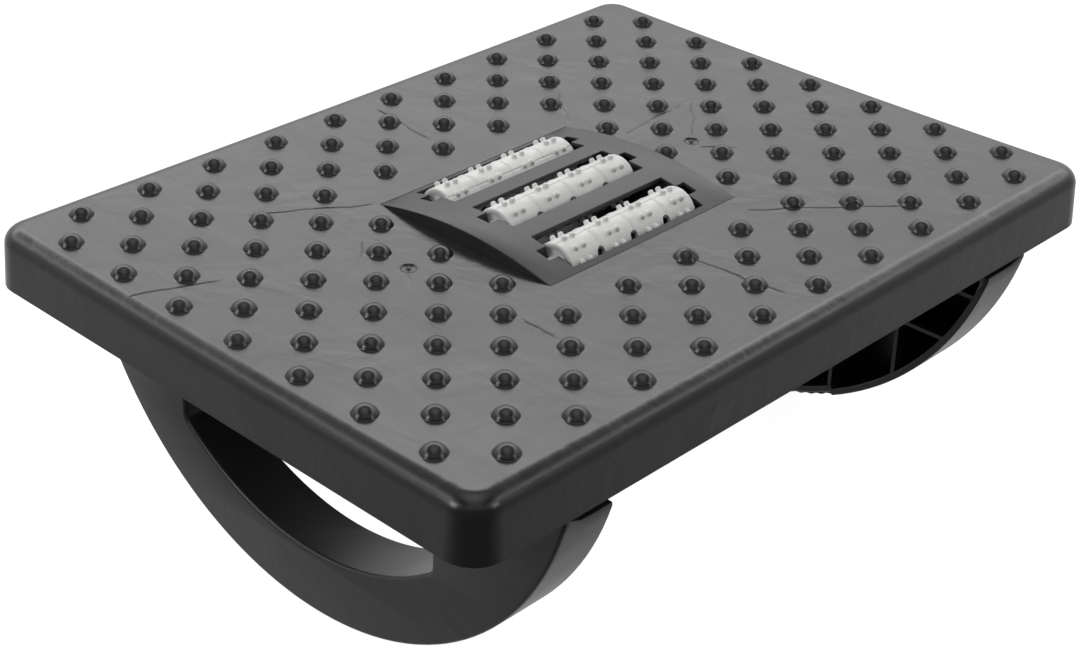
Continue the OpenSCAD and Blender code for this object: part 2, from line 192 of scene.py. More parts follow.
class Shape:
    """Collects points in millimetres and faces, and makes one welded mesh of them."""

    def __init__(self):
        self.points = []
        self.faces = []

    def add(self, points):
        """Adds points and returns their numbers."""
        start = len(self.points)
        self.points.extend(tuple(p) for p in points)
        return list(range(start, len(self.points)))

    def bridge(self, a, b, closed=True):
        """Quads between two rows of equally many point numbers."""
        for k in range(len(a) - (0 if closed else 1)):
            n = (k + 1) % len(a)
            self.faces.append((a[k], a[n], b[n], b[k]))

    def loft(self, rows, closed=True):
        """Quads between neighbouring rows of points. Returns the rows' point numbers."""
        numbers = [self.add(row) for row in rows]
        for a, b in zip(numbers, numbers[1:]):
            self.bridge(a, b, closed)
        return numbers

    def fan(self, top, ring):
        """Triangles between one point and a closed row of points."""
        for k, a in enumerate(ring):
            self.faces.append((top, a, ring[(k + 1) % len(ring)]))

    def fill(self, *loops):
        """Fills a flat face whose outline is the first loop and whose holes are the others."""
        numbers = [n for loop in loops for n in loop]
        outlines = [[Vector(self.points[n]) for n in loop] for loop in loops]
        for tri in tessellate_polygon(outlines):
            self.faces.append(tuple(numbers[k] for k in tri))

    def block(self, low, high):
        """A box between two corners."""
        (x0, y0, z0), (x1, y1, z1) = low, high
        base = [(x0, y0), (x1, y0), (x1, y1), (x0, y1)]
        rows = self.loft([[(x, y, z) for x, y in base] for z in (z0, z1)])
        self.faces.append(tuple(reversed(rows[0])))
        self.faces.append(tuple(rows[1]))

    def tube(self, x, y, low, high, outer, inner):
        """An upright tube, open through its middle."""
        sides = 32
        turn = [2 * math.pi * k / sides for k in range(sides)]
        corners = [(inner, low), (outer, low), (outer, high), (inner, high), (inner, low)]
        self.loft([[(x + r * math.cos(a), y + r * math.sin(a), z) for a in turn] for r, z in corners])

    def make(self, name, body, material, replaces=(), mirror=False, smooth=35.0, weld=0.002,
             recalc=True):
        """The welded mesh as an object that rides on a body."""
        scale = Vector((-MM if mirror else MM, MM, MM))
        mesh = bpy.data.meshes.new(name)
        mesh.from_pydata([Vector(p) * scale for p in self.points], [], self.faces)
        bm = bmesh.new()
        bm.from_mesh(mesh)
        bmesh.ops.remove_doubles(bm, verts=bm.verts, dist=weld * MM)
        bmesh.ops.dissolve_degenerate(bm, dist=weld * MM * 0.5, edges=bm.edges)
        loose = [v for v in bm.verts if not v.link_faces]
        bmesh.ops.delete(bm, geom=loose, context="VERTS")
        if recalc:
            bmesh.ops.recalc_face_normals(bm, faces=bm.faces)
        for face in bm.faces:
            face.smooth = True
        limit = math.radians(smooth)
        for edge in bm.edges:
            edge.smooth = len(edge.link_faces) == 2 and edge.calc_face_angle(0.0) < limit
        bm.to_mesh(mesh)
        bm.free()
        mesh.materials.append(material)
        piece = bpy.data.objects.new(name, mesh)
        bpy.context.scene.collection.objects.link(piece)
        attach(piece, body)
        if replaces:
            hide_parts(*replaces)
        return piece


def steps(a, b, n):
    """n + 1 evenly spaced values from a to b."""
    return [a + (b - a) * k / n for k in range(n + 1)]


def smoothstep(t):
    t = min(1.0, max(0.0, t))
    return t * t * (3 - 2 * t)


# ---------------------------------------------------------------- materials

class Nodes:
    """Short names for building a procedural material round one Principled shader."""

    def __init__(self, name, color, roughness, metallic=0.0, specular=0.5):
        self.material = bpy.data.materials.new(name)
        self.material.use_nodes = True
        self.tree = self.material.node_tree
        self.shader = self.tree.nodes["Principled BSDF"]
        self.shader.inputs["Metallic"].default_value = metallic
        self.shader.inputs["Specular IOR Level"].default_value = specular
        self.color, self.roughness = color, roughness
        self.place = self.tree.nodes.new("ShaderNodeTexCoord").outputs["Object"]

    def link(self, a, b):
        self.tree.links.new(a, b)

    def mapped(self, scale=(1, 1, 1), turn=(0, 0, 0)):
        node = self.tree.nodes.new("ShaderNodeMapping")
        node.inputs["Scale"].default_value = scale
        node.inputs["Rotation"].default_value = turn
        self.link(self.place, node.inputs["Vector"])
        return node.outputs["Vector"]

    def noise(self, scale, detail=3.0, rough=0.5, distortion=0.0, vector=None):
        node = self.tree.nodes.new("ShaderNodeTexNoise")
        node.inputs["Scale"].default_value = scale
        node.inputs["Detail"].default_value = detail
        node.inputs["Roughness"].default_value = rough
        node.inputs["Distortion"].default_value = distortion
        self.link(vector or self.place, node.inputs["Vector"])
        return node.outputs["Fac"]

    def cells(self, scale):
        node = self.tree.nodes.new("ShaderNodeTexVoronoi")
        node.inputs["Scale"].default_value = scale
        self.link(self.place, node.inputs["Vector"])
        return node.outputs["Distance"]

    def remap(self, value, low, high, to_low=0.0, to_high=1.0):
        node = self.tree.nodes.new("ShaderNodeMapRange")
        node.interpolation_type = "SMOOTHSTEP"
        for key, number in zip(("From Min", "From Max", "To Min", "To Max"), (low, high, to_low, to_high)):
            node.inputs[key].default_value = number
        self.link(value, node.inputs["Value"])
        return node.outputs["Result"]

    def math(self, kind, *values):
        node = self.tree.nodes.new("ShaderNodeMath")
        node.operation = kind
        for socket, value in zip(node.inputs, values):
            if isinstance(value, (int, float)):
                socket.default_value = value
            else:
                self.link(value, socket)
        return node.outputs["Value"]

    def add(self, *values):
        total = values[0]
        for value in values[1:]:
            total = self.math("ADD", total, value)
        return total

    def times(self, a, b):
        return self.math("MULTIPLY", a, b)

    def axis(self, name):
        node = self.tree.nodes.new("ShaderNodeSeparateXYZ")
        self.link(self.place, node.inputs["Vector"])
        return node.outputs[name]

    def line(self, start, end, width):
        """1 on the straight line between two points of the XY plane, given in metres, fading to 0."""
        (x0, y0), (x1, y1) = start, end
        length = math.hypot(x1 - x0, y1 - y0)
        ux, uy = (x1 - x0) / length, (y1 - y0) / length
        dx = self.math("SUBTRACT", self.axis("X"), x0)
        dy = self.math("SUBTRACT", self.axis("Y"), y0)
        along = self.add(self.times(dx, ux), self.times(dy, uy))
        wander = self.times(self.math("SUBTRACT", self.noise(45, 2), 0.5), 0.006)
        across = self.math("ABSOLUTE", self.add(self.times(dx, -uy), self.times(dy, ux), wander))
        on_line = self.remap(across, 0.0, width, 1.0, 0.0)
        begins = self.remap(along, 0.0, 0.004)
        fades = self.remap(along, length - 0.015, length, 1.0, 0.0)
        return self.times(on_line, self.times(begins, fades))

    def finish(self, shade, rough, bump, distance):
        """Links a colour factor, a roughness offset and a bump height to the shader."""
        mix = self.tree.nodes.new("ShaderNodeMix")
        mix.data_type = "RGBA"
        mix.inputs[6].default_value = (*[c * 0.78 for c in self.color], 1)
        mix.inputs[7].default_value = (*[min(1.0, c * 1.22) for c in self.color], 1)
        self.link(shade, mix.inputs[0])
        self.link(mix.outputs[2], self.shader.inputs["Base Color"])
        self.link(self.add(rough, self.roughness), self.shader.inputs["Roughness"])
        node = self.tree.nodes.new("ShaderNodeBump")
        node.inputs["Distance"].default_value = distance
        self.link(bump, node.inputs["Height"])
        self.link(node.outputs["Normal"], self.shader.inputs["Normal"])
        return self.material


def moulded_black(name, color, roughness, grain, weld_lines_and_highlights=(), cloud=1.0):
    """Black moulded plastic: a fine grain, soft flow clouds, weld lines that are raised and glossier with
    their colour lightened as a painted highlight, rubbed patches and dust specks.
    """
    n = Nodes(name, color, roughness, specular=0.5)
    clouds = n.noise(16, 4, 0.55, 0.6)
    streaks = n.noise(30, 5, 0.6, 1.2, n.mapped((1, 0.28, 1), (0, 0, 0.7)))
    fine = n.noise(2600, 2, 0.6)
    peel = n.noise(260, 2, 0.5)
    specks = n.remap(n.cells(120), 0.012, 0.03, 1.0, 0.0)
    rare = n.remap(n.noise(23, 2, 0.5), 0.6, 0.66)
    dust = n.times(specks, rare)
    welds_and_highlight = 0.0
    for start, end in weld_lines_and_highlights:
        welds_and_highlight = n.math("MAXIMUM", welds_and_highlight, n.line(start, end, 0.0009))
    # the weld lines lighten the colour here, a painted highlight; their bump and lower roughness below are
    # real
    shade = n.add(n.times(clouds, 0.5), n.times(streaks, 0.5), n.times(dust, 9.0), n.times(welds_and_highlight, 0.5))
    rough = n.add(
        n.times(n.math("SUBTRACT", clouds, 0.5), 0.10 * cloud),
        n.times(n.math("SUBTRACT", streaks, 0.5), 0.16 * cloud),
        n.times(dust, 0.2),
        n.times(welds_and_highlight, -0.10),
    )
    height = n.add(
        n.times(fine, 0.010 * grain),
        n.times(peel, 0.02 * grain),
        n.times(clouds, 1.1 * cloud),
        n.times(streaks, 0.35 * cloud),
        n.times(welds_and_highlight, 0.4),
        n.times(dust, 0.05),
    )
    return n.finish(shade, rough, height, 0.0006)


def roller_white():
    """Off-white moulded plastic with faint grime and soft blotches."""
    n = Nodes("roller_white", (0.75, 0.75, 0.736), 0.32, specular=0.45)
    clouds = n.noise(55, 4, 0.6, 0.4)
    fine = n.noise(3200, 2, 0.6)
    peel = n.noise(480, 2, 0.5)
    specks = n.remap(n.cells(300), 0.02, 0.06, 1.0, 0.0)
    rare = n.remap(n.noise(90, 2, 0.5), 0.62, 0.68)
    shade = n.add(n.times(clouds, 0.9), n.times(n.times(specks, rare), -0.8))
    rough = n.times(n.math("SUBTRACT", clouds, 0.5), 0.2)
    height = n.add(n.times(fine, 0.04), n.times(peel, 0.14), n.times(clouds, 0.3))
    material = n.finish(shade, rough, height, 0.0002)
    n.shader.inputs["Subsurface Weight"].default_value = 0.08
    n.shader.inputs["Subsurface Radius"].default_value = (0.002, 0.002, 0.0018)
    return material


def zinc_steel():
    """Zinc-plated steel with fine turning marks and dull patches."""
    n = Nodes("zinc_steel", (0.52, 0.52, 0.54), 0.34, metallic=1.0)
    clouds = n.noise(220, 3, 0.6)
    marks = n.noise(900, 2, 0.5, 0.0, n.mapped((0.2, 1, 1)))
    shade = n.add(n.times(clouds, 0.6), n.times(marks, 0.4))
    rough = n.times(n.math("SUBTRACT", clouds, 0.4), 0.35)
    return n.finish(shade, rough, n.add(n.times(marks, 0.5), n.times(clouds, 0.3)), 0.00006)


def pad_rubber():
    """Matt rubber with a fine sandy grain and dusty contact patches."""
    n = Nodes("pad_rubber", (0.028, 0.028, 0.028), 0.78, specular=0.3)
    sand = n.noise(1500, 3, 0.7)
    dusty = n.noise(70, 4, 0.6, 0.8)
    shade = n.add(n.times(sand, 0.4), n.remap(dusty, 0.5, 0.75, 0.0, 2.5))
    rough = n.times(n.math("SUBTRACT", dusty, 0.5), 0.25)
    return n.finish(shade, rough, n.add(sand, n.times(dusty, 0.4)), 0.00012)


# flow lines in the deck's plastic, each from one point to another, in metres; each is raised in the bump
# and lightened in colour as a painted highlight
WELD_LINES_AND_HIGHLIGHTS = [
    ((0.107, 0.003), (0.147, 0.036)),
    ((0.100, -0.007), (0.120, -0.026)),
    ((0.084, 0.031), (0.147, 0.034)),
    ((0.072, 0.060), (0.118, 0.118)),
    ((0.007, 0.142), (0.001, 0.088)),
    ((0.000, -0.080), (0.004, -0.147)),
    ((-0.106, -0.003), (-0.117, -0.015)),
    ((-0.102, 0.036), (-0.119, 0.015)),
    ((-0.100, -0.070), (-0.103, -0.101)),
    ((0.060, -0.070), (0.125, -0.130)),
    ((-0.219, 0.065), (-0.171, 0.047)),
    ((-0.070, 0.060), (-0.130, 0.095)),
]

MOULDING = moulded_black("platform_black", (0.014, 0.014, 0.0144), 0.25, 0.5, WELD_LINES_AND_HIGHLIGHTS)
ROCKER_BLACK = moulded_black("rocker_black", (0.017, 0.017, 0.0174), 0.35, 1.0)
INSERT = moulded_black("housing_black", (0.017, 0.017, 0.0174), 0.36, 0.7, cloud=0.5)
WHITE = roller_white()
STEEL = zinc_steel()
RUBBER = pad_rubber()


# ---------------------------------------------------------------- platform

def deck_z(x, y):
    """Height of the deck, which warped into a shallow dish as it cooled."""
    u = (x / (GRID_COLS * PITCH)) ** 2
    v = (y / (GRID_ROWS * PITCH)) ** 2
    return CENTRE_Z + DISH_X * u + DISH_Y * v + DISH_XY * u * v


GRID_X = (GRID_COLS + 0.5) * PITCH
BLOCK_X = HALF_LEN - ROLL_R - 0.5
BLOCK_Y = (GRID_ROWS + 0.5) * PITCH
KEEP_X = BLOCK_X - 0.6
CORNER_X = HALF_LEN - CORNER_R
CORNER_Y = HALF_WID - CORNER_R


def corner_angle(dx, dy):
    """Angle of the rounded corner that belongs to a point of the square corner, from its centre."""
    wide, high = BLOCK_X - CORNER_X, BLOCK_Y - CORNER_Y
    u, v = dx / wide, dy / high
    reach = max(u, v)
    if v >= u:
        along = (u / reach) * wide
    else:
        along = wide + (1 - v / reach) * high
    return math.pi / 2 * (1 - along / (wide + high)), reach


def squeezed(x):
    """Moves the outermost strip of the grid inwards, to where the rolled edge begins."""
    over = abs(x) - KEEP_X
    if over <= 0:
        return x
    return math.copysign(KEEP_X + over * (BLOCK_X - KEEP_X) / (GRID_X - KEEP_X), x)


def rounded(x, y):
    """Moves a point of the deck's square corners to where the rounded corner has it."""
    x = squeezed(x)
    dx, dy = abs(x) - CORNER_X, abs(y) - CORNER_Y
    if dx <= 0 or dy <= 0:
        return x, y
    angle, reach = corner_angle(dx, dy)
    share = angle / (math.pi / 2)
    radius = reach * ((BLOCK_X - CORNER_X) * (1 - share) + (BLOCK_Y - CORNER_Y) * share)
    return (math.copysign(CORNER_X + radius * math.cos(angle), x),
            math.copysign(CORNER_Y + radius * math.sin(angle), y))


def deck_point(x, y, lift=0.0):
    """A point of the deck or above it, from its place in the grid."""
    x, y = rounded(x, y)
    return x, y, deck_z(x, y) + lift


def dome_profile():
    """Distance from the middle and height above the deck, from a dome's top to the end of its fillet."""
    ball = (DOME_R ** 2 + DOME_H ** 2) / (2 * DOME_H)
    sunk = ball - DOME_H
    widest = math.acos((sunk + 0.3) / ball)
    cap = [(ball * math.sin(a), ball * math.cos(a) - sunk) for a in steps(0, widest, 11)[1:]]
    last = cap[-1][0]
    return cap + [(last + out, height) for out, height in DOME_FILLET]


PROFILE = dome_profile()


def cell_edge(cx, cy):
    """Points round a cell of the deck's grid, anticlockwise from its lowest corner."""
    h, n = PITCH / 2, CELL_STEPS
    row = steps(-h, h, n)[:-1]
    sides = [[(t, -h) for t in row], [(h, t) for t in row],
             [(-t, h) for t in row], [(-h, -t) for t in row]]
    return [(cx + x, cy + y) for side in sides for x, y in side]


def dome_cell(shape, cx, cy):
    """A cell with a dome in its middle."""
    edge = cell_edge(cx, cy)
    angles = [math.atan2(y - cy, x - cx) for x, y in edge]
    rows = []
    for r, lift in PROFILE:
        rows.append([deck_point(cx + r * math.cos(a), cy + r * math.sin(a), lift) for a in angles])
    last = PROFILE[-1][0]
    for share in (0.35, 0.7, 1.0):
        row = []
        for (x, y), a in zip(edge, angles):
            rx, ry = cx + last * math.cos(a), cy + last * math.sin(a)
            row.append(deck_point(rx + (x - rx) * share, ry + (y - ry) * share))
        rows.append(row)
    numbers = shape.loft(rows)
    top = shape.add([deck_point(cx, cy, DOME_H)])[0]
    shape.fan(top, numbers[0])


def gate_lift(x, y):
    """Height of the two gate marks: a flat dimple with a thin rim and the stub of the cut gate."""
    away = math.hypot(abs(x) - GATE_X, y)
    dip = -GATE_DEPTH * smoothstep((GATE_R - away) / 0.9)
    rim = 0.12 * smoothstep(1.3 - abs(away - GATE_R - 0.3) / 0.4)
    stub = GATE_DEPTH * 1.1 * smoothstep(1.35 - away / 0.9)
    moat = -0.15 * smoothstep(1.3 - abs(away - 1.7) / 0.35)
    return dip + rim + stub + moat


def plain_cell(shape, cx, cy):
    """A flat cell without a dome."""
    h = PITCH / 2
    xs, ys = steps(cx - h, cx + h, CELL_STEPS), steps(cy - h, cy + h, CELL_STEPS)
    shape.loft([[deck_point(x, y) for x in xs] for y in ys], closed=False)


def gate_cell(shape, cx, cy):
    """A cell with a gate mark in its middle."""
    edge = cell_edge(cx, cy)
    angles = [math.atan2(y - cy, x - cx) for x, y in edge]
    reach = 7.0
    rows = [[(cx + r * math.cos(a), cy + r * math.sin(a)) for a in angles]
            for r in steps(0, reach, 42)[1:]]
    rows.append([((x + cx + reach * math.cos(a)) / 2, (y + cy + reach * math.sin(a)) / 2)
                 for (x, y), a in zip(edge, angles)])
    rows.append(edge)
    numbers = shape.loft([[deck_point(x, y, gate_lift(x, y)) for x, y in row] for row in rows])
    top = shape.add([deck_point(cx, cy, gate_lift(cx, cy))])[0]
    shape.fan(top, numbers[0])


def window_block(shape):
    """The deck's middle, round the window for the housing. Returns the window's edge."""
    half = (WINDOW_CELLS + 0.5) * PITCH
    count = (2 * WINDOW_CELLS + 1) * CELL_STEPS
    lines = steps(-half, half, count)
    cut_x = min(range(count + 1), key=lambda k: abs(lines[k] - WINDOW_X))
    cut_y = min(range(count + 1), key=lambda k: abs(lines[k] - WINDOW_Y))
    numbers = {}
    for a, x in enumerate(lines):
        for b, y in enumerate(lines):
            inner = 0 < a < count and 0 < b < count
            px, py = x, y
            if inner and a in (cut_x, count - cut_x):
                px = math.copysign(WINDOW_X, x)
            if inner and b in (cut_y, count - cut_y):
                py = math.copysign(WINDOW_Y, y)
            numbers[a, b] = shape.add([deck_point(px, py)])[0]
    low_x, low_y = count - cut_x, count - cut_y
    for a in range(count):
        for b in range(count):
            if low_x <= a < cut_x and low_y <= b < cut_y:
                continue
            corners = ((a, b), (a + 1, b), (a + 1, b + 1), (a, b + 1))
            shape.faces.append(tuple(numbers[k] for k in corners))
    edge = [numbers[a, low_y] for a in range(low_x, cut_x)]
    edge += [numbers[cut_x, b] for b in range(low_y, cut_y)]
    edge += [numbers[a, cut_y] for a in range(cut_x, low_x, -1)]
    edge += [numbers[low_x, b] for b in range(cut_y, low_y, -1)]
    return edge


def deck_cells(shape):
    """The cells round the middle of the deck: a dome in every second one, and the two gate marks."""
    for i in range(-GRID_COLS, GRID_COLS + 1):
        for j in range(-GRID_ROWS, GRID_ROWS + 1):
            cx, cy = i * PITCH, j * PITCH
            if abs(i) <= WINDOW_CELLS and abs(j) <= WINDOW_CELLS:
                continue
            if (i + j) % 2 == 0:
                dome_cell(shape, cx, cy)
            elif (abs(i), j) == GATE_CELL:
                gate_cell(shape, cx, cy)
            else:
                plain_cell(shape, cx, cy)


def block_edge():
    """Points round the deck's grid, anticlockwise, before its corners are rounded."""
    nx, ny = (2 * GRID_COLS + 1) * CELL_STEPS, (2 * GRID_ROWS + 1) * CELL_STEPS
    xs, ys = steps(-GRID_X, GRID_X, nx)[:-1], steps(-BLOCK_Y, BLOCK_Y, ny)[:-1]
    return ([(x, -BLOCK_Y) for x in xs] + [(GRID_X, y) for y in ys]
            + [(-x, BLOCK_Y) for x in xs] + [(-GRID_X, -y) for y in ys])


def side_point(x, y, inset):
    """Where the platform's side, moved inwards by inset, meets a point of the grid's edge."""
    x = squeezed(x)
    dx, dy = abs(x) - CORNER_X, abs(y) - CORNER_Y
    if dx > 0 and dy > 0:
        angle, _ = corner_angle(dx, dy)
        r = CORNER_R - inset
        return (math.copysign(CORNER_X + r * math.cos(angle), x),
                math.copysign(CORNER_Y + r * math.sin(angle), y))
    if abs(y) == BLOCK_Y:
        return x, math.copysign(HALF_WID - inset, y)
    return math.copysign(HALF_LEN - inset, x), y


def side_rows():
    """Rows of points from the deck's edge over the roll, down the skirt, round the lip and up inside."""
    edge = block_edge()
    rows = []

    def row(inset, height):
        points = []
        for x, y in edge:
            px, py = side_point(x, y, inset)
            points.append((px, py, height(px, py)))
        rows.append(points)

    row(ROLL_R + 0.25, deck_z)
    for a in steps(0, math.pi / 2, 14):
        inset = ROLL_R * (1 - math.sin(a))
        drop = ROLL_R * (1 - math.cos(a))
        row(inset, lambda x, y, d=drop: deck_z(x, y) - d)
    for share in (0.25, 0.5, 0.75, 0.97):
        row(-FLARE * share, lambda x, y, s=share: (deck_z(x, y) - ROLL_R) * (1 - s) + LIP_Z * s)
    row(-FLARE, lambda x, y: LIP_Z + 0.35)
    row(-FLARE + 0.35, lambda x, y: LIP_Z)
    row(SKIRT_T - FLARE - 0.5, lambda x, y: LIP_Z)
    row(SKIRT_T - FLARE, lambda x, y: LIP_Z + 0.5)
    row(SKIRT_T, lambda x, y: deck_z(x, y) - ROLL_R)
    inner = ROLL_R - SKIRT_T
    for a in steps(0, math.pi / 2, 5)[1:]:
        inset = SKIRT_T + inner * (1 - math.cos(a))
        rise = inner * math.sin(a) - inner
        row(inset, lambda x, y, d=rise: deck_z(x, y) - DECK_T + d)
    return rows


def window_collar(shape, edge):
    """The collar round the window, down past the deck and up its outside. Returns its last row."""
    points = [Vector(shape.points[n]) for n in edge]
    depth = DECK_T + COLLAR_DROP
    lip = shape.add([(p.x, p.y, p.z - WINDOW_LIP) for p in points])
    foot = shape.add([(p.x, p.y, p.z - depth) for p in points])
    shape.bridge(edge, lip)
    shape.bridge(lip, foot)
    near = 1e-3
    out = [(p.x + math.copysign(COLLAR_T, p.x) * (abs(p.x) >= WINDOW_X - near),
            p.y + math.copysign(COLLAR_T, p.y) * (abs(p.y) >= WINDOW_Y - near)) for p in points]
    low = shape.add([(x, y, p.z - depth) for (x, y), p in zip(out, points)])
    high = shape.add([(x, y, p.z - DECK_T) for (x, y), p in zip(out, points)])
    shape.bridge(foot, low)
    shape.bridge(low, high)
    return high


def platform_shell():
    """The platform's skin: the deck with its domes, the rolled edge, the skirt and the deck's underside."""
    shape = Shape()
    deck_cells(shape)
    window_edge = window_block(shape)
    deck_edge = [deck_point(x, y) for x, y in block_edge()]
    sides = shape.loft([deck_edge] + side_rows())
    inner = [[deck_point(x * s, y * s, -DECK_T) for x, y in block_edge()] for s in UNDERSIDE_RINGS]
    under = shape.loft(inner)
    shape.bridge(sides[-1], under[0])
    shape.fill(under[-1], window_collar(shape, window_edge))
    return shape.make("platform_shell", "base", MOULDING, ["platform"], smooth=50)


def rib(shape, x0, y0, x1, y1):
    """A rib under the deck between two points, following the dish."""
    length = math.hypot(x1 - x0, y1 - y0)
    nx, ny = -(y1 - y0) / length * RIB_T / 2, (x1 - x0) / length * RIB_T / 2
    taper = 0.7
    rows = []
    for t in steps(0, 1, max(2, round(length / 20))):
        x, y = x0 + (x1 - x0) * t, y0 + (y1 - y0) * t
        top = deck_z(x, y) - DECK_T + RIB_SINK
        low = max(top - RIB_DEPTH, LIP_Z + 4)
        rows.append([(x + nx, y + ny, top), (x + nx, y + ny, low + 0.4),
                     (x + nx * taper, y + ny * taper, low), (x - nx * taper, y - ny * taper, low),
                     (x - nx, y - ny, low + 0.4), (x - nx, y - ny, top)])
    numbers = shape.loft(rows)
    shape.faces.append(tuple(reversed(numbers[0])))
    shape.faces.append(tuple(numbers[-1]))


def platform_ribs():
    """The stiffening grid and the screw bosses under the deck."""
    shape = Shape()
    reach_x, reach_y = HALF_LEN - SKIRT_T + 0.2, HALF_WID - SKIRT_T + 0.2
    clear_x, clear_y = HOUSING_HIGH.x + 3, HOUSING_HIGH.y + 3
    for i in (-9, -7, -5, 5, 7, 9):
        rib(shape, i * PITCH, -reach_y, i * PITCH, reach_y)
    for i in (-3, 3):
        for s in (-1, 1):
            rib(shape, i * PITCH, s * clear_y, i * PITCH, s * reach_y)
    for j in (-6, -4, 4, 6):
        rib(shape, -reach_x, j * PITCH, reach_x, j * PITCH)
    for j in (-2, 0, 2):
        for s in (-1, 1):
            rib(shape, s * clear_x, j * PITCH, s * reach_x, j * PITCH)
    for x in (-HOUSING_SCREW_X, HOUSING_SCREW_X):
        for y in (-HOUSING_SCREW_Y, 0, HOUSING_SCREW_Y):
            top = deck_z(x, y) - DECK_T + RIB_SINK
            shape.tube(x, y, HOUSING_LOW.z + FLANGE_T, top, 4.0, 1.5)
    cx = (ROCKER_OUT + ROCKER_IN) / 2
    for s in (-1, 1):
        for y in ROCKER_SCREWS_Y:
            shape.tube(s * cx, y, ROCKER_TOP, deck_z(cx, y) - DECK_T + RIB_SINK, 4.5, 2.0)
    return shape.make("platform_ribs", "base", MOULDING)


# ---------------------------------------------------------------- roller housing

def arch_z(y):
    """Height of the housing's arch."""
    return ARCH_TOP - ARCH_R + math.sqrt(ARCH_R ** 2 - y * y)


def cover_z(x, y):
    """Height of the cover's outside: the arch, lower at both ends and level with the deck at its edges."""
    share = (arch_z(y) - arch_z(HOUSE_Y)) / ARCH_RISE
    away = max(0.0, abs(x) - (HOUSE_X - END_SLOPE_X)) / END_SLOPE_X
    sag = deck_z(x, HOUSE_Y) - arch_z(HOUSE_Y)
    return arch_z(y) - END_DROP * away ** 2.5 * share + sag * (1 - share)


def in_slot(x, y):
    """Whether a point of the cover lies in a roller's slot or in its notches."""
    for axis in AXES.values():
        if abs(x) < SLOT_X and abs(y - axis.y) < SLOT_W / 2:
            return True
        if abs(x) < NOTCH_X and abs(y - axis.y) < NOTCH_W / 2:
            return True
    return False


def refined(keys, size):
    """The keys with evenly spaced values between them, about size apart."""
    values = []
    for a, b in zip(keys, keys[1:]):
        values += steps(a, b, max(1, round((b - a) / size)))[:-1]
    return values + [keys[-1]]


def cover_lines():
    """Places along X and Y where the cover's mesh has a row of points."""
    keys_x = sorted({s * v for s in (-1, 1) for v in (0, SLOT_X, NOTCH_X, HOUSE_X - 9, HOUSE_X)})
    keys_y = {-HOUSE_Y, HOUSE_Y}
    for axis in AXES.values():
        keys_y |= {axis.y - SLOT_W / 2, axis.y + SLOT_W / 2, axis.y - NOTCH_W / 2, axis.y + NOTCH_W / 2}
    return refined(keys_x, 3.0), refined(sorted(keys_y), 2.0)


def cover_faces(shape, xs, ys, top, low):
    """The cover's outside, its inside and the walls of its slots."""
    solid = {}
    for a in range(len(xs) - 1):
        for b in range(len(ys) - 1):
            solid[a, b] = not in_slot((xs[a] + xs[a + 1]) / 2, (ys[b] + ys[b + 1]) / 2)
    for (a, b), keep in solid.items():
        if not keep:
            continue
        shape.faces.append((top[a, b], top[a + 1, b], top[a + 1, b + 1], top[a, b + 1]))
        shape.faces.append((low[a, b], low[a, b + 1], low[a + 1, b + 1], low[a + 1, b]))
        sides = [((a, b - 1), (a, b), (a + 1, b)), ((a, b + 1), (a + 1, b + 1), (a, b + 1)),
                 ((a - 1, b), (a, b + 1), (a, b)), ((a + 1, b), (a + 1, b), (a + 1, b + 1))]
        for neighbour, p, q in sides:
            if solid.get(neighbour) is False:
                shape.faces.append((top[q], top[p], low[p], low[q]))


def cover_walls(shape, xs, ys, top, low):
    """The walls: down from the arch's edge to the flange, out, round it and back up inside."""
    count_x, count_y = len(xs) - 1, len(ys) - 1
    ring = [(a, 0) for a in range(count_x)] + [(count_x, b) for b in range(count_y)]
    ring += [(a, count_y) for a in range(count_x, 0, -1)] + [(0, b) for b in range(count_y, 0, -1)]
    flange_top, flange_low = HOUSING_LOW.z + FLANGE_T, HOUSING_LOW.z
    grow_x, grow_y = HOUSING_HIGH.x / HOUSE_X, HOUSING_HIGH.y / HOUSE_Y
    wall_x, wall_y = (HOUSE_X - HOUSE_T) / HOUSE_X, (HOUSE_Y - HOUSE_T) / HOUSE_Y

    def level(sx, sy, z):
        return shape.add([(xs[a] * sx, ys[b] * sy, z) for a, b in ring])

    rows = [[top[k] for k in ring], level(1, 1, flange_top), level(grow_x, grow_y, flange_top),
            level(grow_x, grow_y, flange_low), level(wall_x, wall_y, flange_low)]
    rows.append(shape.add([(xs[a] * wall_x, ys[b] * wall_y, cover_z(xs[a], ys[b]) - HOUSE_T)
                           for a, b in ring]))
    for a, b in zip(rows, rows[1:]):
        shape.bridge(b, a)
    shape.bridge([low[k] for k in ring], rows[-1])


def housing_cover():
    """The arched cover with its three notched slots, its walls and its flange."""
    shape = Shape()
    xs, ys = cover_lines()
    top, low = {}, {}
    for a, x in enumerate(xs):
        for b, y in enumerate(ys):
            z = cover_z(x, y)
            top[a, b] = shape.add([(x, y, z)])[0]
            low[a, b] = shape.add([(x, y, z - HOUSE_T)])[0]
    cover_faces(shape, xs, ys, top, low)
    cover_walls(shape, xs, ys, top, low)
    piece = shape.make("housing_cover", "base", INSERT, ["roller_housing"], smooth=30)
    bevel = piece.modifiers.new("edges", "BEVEL")
    bevel.width = 0.45 * MM
    bevel.segments = 3
    bevel.limit_method = "ANGLE"
    bevel.angle_limit = math.radians(40)
    bevel.harden_normals = True
    return piece


# ---------------------------------------------------------------- rollers

def slot_distance(x, arc, centre):
    """Signed distance to the rim of the long slot at one segment edge, and the way out of it."""
    dx, dy = x - centre, arc - math.pi * ROLLER_R / 2
    dy -= max(-HOLE_Y, min(HOLE_Y, dy))
    away = math.hypot(dx, dy)
    return away - HOLE_R, (dx / away, dy / away) if away > 1e-6 else (1.0, 0.0)


